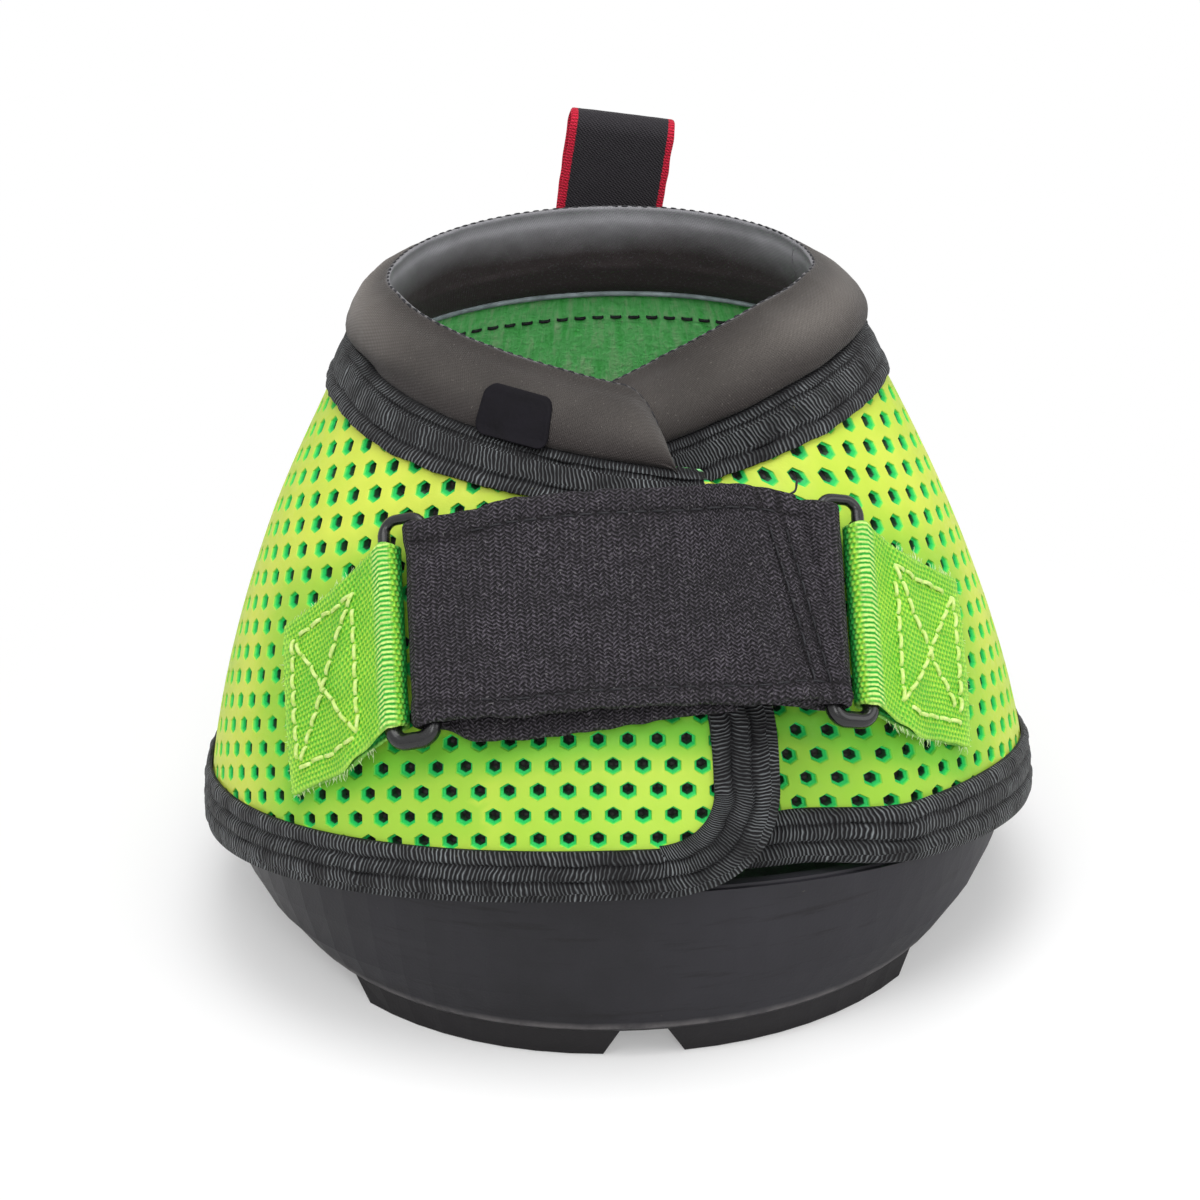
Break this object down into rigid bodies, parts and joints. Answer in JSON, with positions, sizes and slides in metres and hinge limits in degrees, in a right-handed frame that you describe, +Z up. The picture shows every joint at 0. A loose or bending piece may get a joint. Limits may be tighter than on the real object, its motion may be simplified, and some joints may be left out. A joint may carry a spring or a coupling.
{
  "type": "horse hoof boot",
  "caption": "Low hoof boot with a moulded cup sole, a perforated wrap-over upper, a padded collar and a strap closed through two rings.",
  "frame": {"origin": "on the ground, at the middle of the boot's length and width", "axes": "+Z up, toe towards -Y, the outer flap's free edge on the +X side of the toe"},
  "size_m": [0.1642, 0.1539, 0.1426],
  "materials": {
    "lime_skin": "perforated soft skin, matt",
    "green_lining": "brushed pile",
    "grey_collar": "matt knit over foam",
    "black_binding": "ribbed woven tape",
    "strap_weave": "coarse woven webbing",
    "green_webbing": "woven tape",
    "sole_rubber": "moulded, satin",
    "footbed_foam": "foam sheet",
    "ring_plastic": "moulded, glossy",
    "pull_tape": "twill tape",
    "hook_and_loop": "hook and loop pile",
    "patch_rubber": "satin, blank"
  },
  "bodies": {
    "boot_base": {"sole_cup": "sole_rubber", "footbed": "footbed_foam", "heel_skin": "lime_skin", "heel_lining": "green_lining", "heel_collar": "grey_collar", "heel_upper_binding": "black_binding", "heel_lower_binding": "black_binding"},
    "outer_flap": {"outer_flap_skin": "lime_skin", "outer_flap_lining": "green_lining", "outer_flap_upper_binding": "black_binding", "outer_flap_edge_binding": "black_binding", "outer_flap_collar": "grey_collar", "outer_flap_loop_patch": "hook_and_loop", "collar_patch": "patch_rubber", "left_webbing_tab": "green_webbing"},
    "inner_flap": {"inner_flap_skin": "lime_skin", "inner_flap_lining": "green_lining", "inner_flap_upper_binding": "black_binding", "inner_flap_lower_binding": "black_binding", "inner_flap_collar": "grey_collar", "inner_flap_hook_patch": "hook_and_loop", "right_webbing_tab": "green_webbing"},
    "left_ring": {"left_ring": "ring_plastic"},
    "right_ring": {"right_ring": "ring_plastic", "strap_end_loop": "strap_weave"},
    "strap": {"strap": "strap_weave", "strap_hook_pad": "hook_and_loop"},
    "pull_loop": {"pull_loop": "pull_tape"}
  },
  "joints": [
    {"name": "outer_flap_swing", "type": "hinge", "parent": "boot_base", "child": "outer_flap", "pos_m": [-0.08591, 0.00752, 0.01988], "axis": [-0.3155, -0.101, -0.9435], "range_deg": [0, 63]},
    {"name": "inner_flap_swing", "type": "hinge", "parent": "boot_base", "child": "inner_flap", "pos_m": [0.08591, 0.00752, 0.01988], "axis": [-0.3155, 0.101, 0.9435], "range_deg": [0, 31.5]},
    {"name": "left_ring_swivel", "type": "hinge", "parent": "outer_flap", "child": "left_ring", "pos_m": [-0.04317, -0.04212, 0.07994], "axis": [0.0079, -0.6335, -0.7737], "range_deg": [0, 47.25]},
    {"name": "strap_peel", "type": "hinge", "parent": "left_ring", "child": "strap", "pos_m": [-0.03601, -0.04448, 0.08195], "axis": [0.0079, -0.6335, -0.7737], "range_deg": [0, 105]},
    {"name": "right_ring_swivel", "type": "hinge", "parent": "inner_flap", "child": "right_ring", "pos_m": [0.04317, -0.04212, 0.07994], "axis": [0.0079, 0.6335, 0.7737], "range_deg": [0, 52.5]},
    {"name": "pull_loop_flex", "type": "hinge", "parent": "boot_base", "child": "pull_loop", "pos_m": [0.00269, 0.05889, 0.1128], "axis": [-1, 0, 0], "range_deg": [0, 70]}
  ],
  "couplings": [
    {"joint": "left_ring_swivel", "follows": "strap_peel", "ratio": 0.45},
    {"joint": "outer_flap_swing", "follows": "strap_peel", "ratio": 0.6},
    {"joint": "inner_flap_swing", "follows": "strap_peel", "ratio": 0.3},
    {"joint": "right_ring_swivel", "follows": "strap_peel", "ratio": 0.5}
  ]
}
